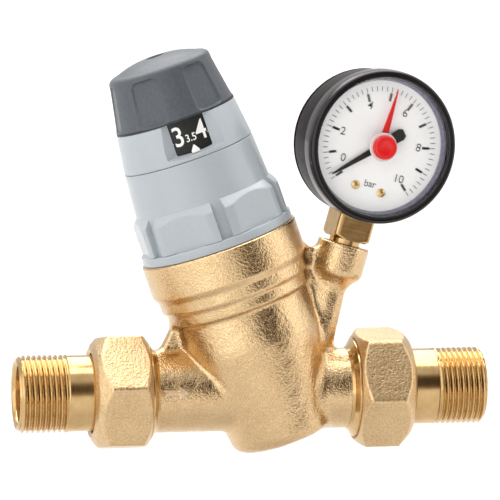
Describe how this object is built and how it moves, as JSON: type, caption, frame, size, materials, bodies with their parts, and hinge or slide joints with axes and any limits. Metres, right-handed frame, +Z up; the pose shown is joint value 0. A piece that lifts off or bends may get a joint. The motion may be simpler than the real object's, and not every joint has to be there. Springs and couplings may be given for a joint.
{
  "type": "pressure reducing valve",
  "caption": "Inclined pressure reducing valve with a grey adjusting cover and knob, hexagonal union tails with pipe threads and a round pressure gauge.",
  "frame": {"origin": "centre of the inlet tail's end face, on the pipe axis", "axes": "+X along the pipe, inlet to outlet; +Z up; -Y is the front, where the gauge faces"},
  "size_m": [0.16, 0.0544, 0.1373],
  "materials": {
    "cast_brass": "shot-blasted casting",
    "machined_brass": "turned, satin to bright",
    "light_grey_plastic": "moulded, satin gloss",
    "dark_grey_plastic": "moulded, satin gloss",
    "black_scale": "matt black with white numbers",
    "rubber": "moulded elastomer",
    "fibre": "pressed fibre gasket",
    "white_polymer": "moulded",
    "stainless": "stainless",
    "spring_steel": "drawn wire, oiled",
    "black_metal": "black enamel",
    "white_metal": "white dial with black print",
    "pointer_black": "matt black lacquer",
    "pointer_red": "red",
    "window_clear": "clear, polished"
  },
  "bodies": {
    "valve": {"valve_body": "cast_brass", "cartridge_housing": "machined_brass", "housing_o_ring": "rubber", "spigot_o_ring": "rubber", "seat_ring": "stainless", "strainer": "stainless", "diaphragm": "rubber", "slip_ring": "white_polymer", "bell_cover": "light_grey_plastic", "indicator_collar": "light_grey_plastic", "pressure_spring": "spring_steel", "gauge_socket": "machined_brass", "gauge_seal": "rubber", "gauge_case": "black_metal", "gauge_bezel": "black_metal", "gauge_window": "window_clear", "gauge_dial": "white_metal", "dial_screws": "machined_brass", "movement_plates": "machined_brass", "bourdon_tube": "machined_brass", "hairspring": "spring_steel"},
    "stem": {"valve_stem": "stainless", "piston_sleeve": "white_polymer", "piston_seal": "rubber", "obturator": "stainless", "obturator_seal": "rubber", "diaphragm_lower_plate": "machined_brass", "diaphragm_upper_plate": "stainless", "stem_nut": "stainless"},
    "knob": {"control_knob": "dark_grey_plastic", "scale_ring": "black_scale", "adjusting_spindle": "machined_brass"},
    "lock_screw": {"lock_screw": "spring_steel"},
    "spring_nut": {"spring_nut": "machined_brass"},
    "inlet_tail": {"inlet_tail": "machined_brass", "inlet_gasket": "fibre"},
    "inlet_nut": {"inlet_union_nut": "cast_brass"},
    "outlet_tail": {"outlet_tail": "machined_brass", "outlet_gasket": "fibre"},
    "outlet_nut": {"outlet_union_nut": "cast_brass"},
    "pointer": {"pointer_arbor": "machined_brass", "black_pointer": "pointer_black"},
    "sector": {"toothed_sector": "machined_brass"},
    "set_pointer": {"set_pointer": "pointer_red", "set_pointer_knob": "pointer_red"}
  },
  "joints": [
    {"name": "knob_turn", "type": "hinge", "parent": "valve", "child": "knob", "pos_m": [0.0865, 0, 0], "axis": [-0.3256, 0, 0.9455], "range_deg": [-70, 70]},
    {"name": "spring_nut_slide", "type": "slide", "parent": "valve", "child": "spring_nut", "axis": [-0.3256, 0, 0.9455], "range_m": [-0.004, 0.004], "deforming": ["pressure_spring"]},
    {"name": "stem_slide", "type": "slide", "parent": "valve", "child": "stem", "axis": [-0.3256, 0, 0.9455], "range_m": [0, 0.0024], "stiffness_N_per_m": 200, "springref_m": -0.001, "deforming": ["diaphragm", "pressure_spring"]},
    {"name": "lock_screw_turn", "type": "hinge", "parent": "knob", "child": "lock_screw", "pos_m": [0.0865, 0, 0], "axis": [-0.3256, 0, 0.9455], "range_deg": [0, 360]},
    {"name": "inlet_tail_slide", "type": "slide", "parent": "valve", "child": "inlet_tail", "axis": [-1, 0, 0], "range_m": [0, 0.01049]},
    {"name": "inlet_nut_turn", "type": "hinge", "parent": "inlet_tail", "child": "inlet_nut", "pos_m": [0, 0, 0], "axis": [-1, 0, 0], "range_deg": [0, 1620]},
    {"name": "outlet_tail_slide", "type": "slide", "parent": "valve", "child": "outlet_tail", "axis": [1, 0, 0], "range_m": [0, 0.01049]},
    {"name": "outlet_nut_turn", "type": "hinge", "parent": "outlet_tail", "child": "outlet_nut", "pos_m": [0.16, 0, 0], "axis": [1, 0, 0], "range_deg": [0, 1620]},
    {"name": "pointer_turn", "type": "hinge", "parent": "valve", "child": "pointer", "pos_m": [0.12321, -0.00652, 0.08261], "axis": [-0.1535, 0.9871, 0.0446], "range_deg": [0, 270], "stiffness_Nm_per_rad": 0.00002, "springref_deg": -28.65},
    {"name": "sector_turn", "type": "hinge", "parent": "valve", "child": "sector", "pos_m": [0.11938, 0, 0.07323], "axis": [-0.1535, 0.9871, 0.0446], "range_deg": [-31, 0]},
    {"name": "set_pointer_turn", "type": "hinge", "parent": "valve", "child": "set_pointer", "pos_m": [0.12321, -0.00652, 0.08261], "axis": [-0.1535, 0.9871, 0.0446], "range_deg": [-135, 135]}
  ],
  "couplings": [
    {"joint": "spring_nut_slide", "follows": "knob_turn", "m_per_rad": 0.0031831},
    {"joint": "inlet_tail_slide", "follows": "inlet_nut_turn", "m_per_rad": 0.00036749},
    {"joint": "outlet_tail_slide", "follows": "outlet_nut_turn", "m_per_rad": 0.00036749},
    {"joint": "sector_turn", "follows": "pointer_turn", "ratio": -0.11111}
  ]
}
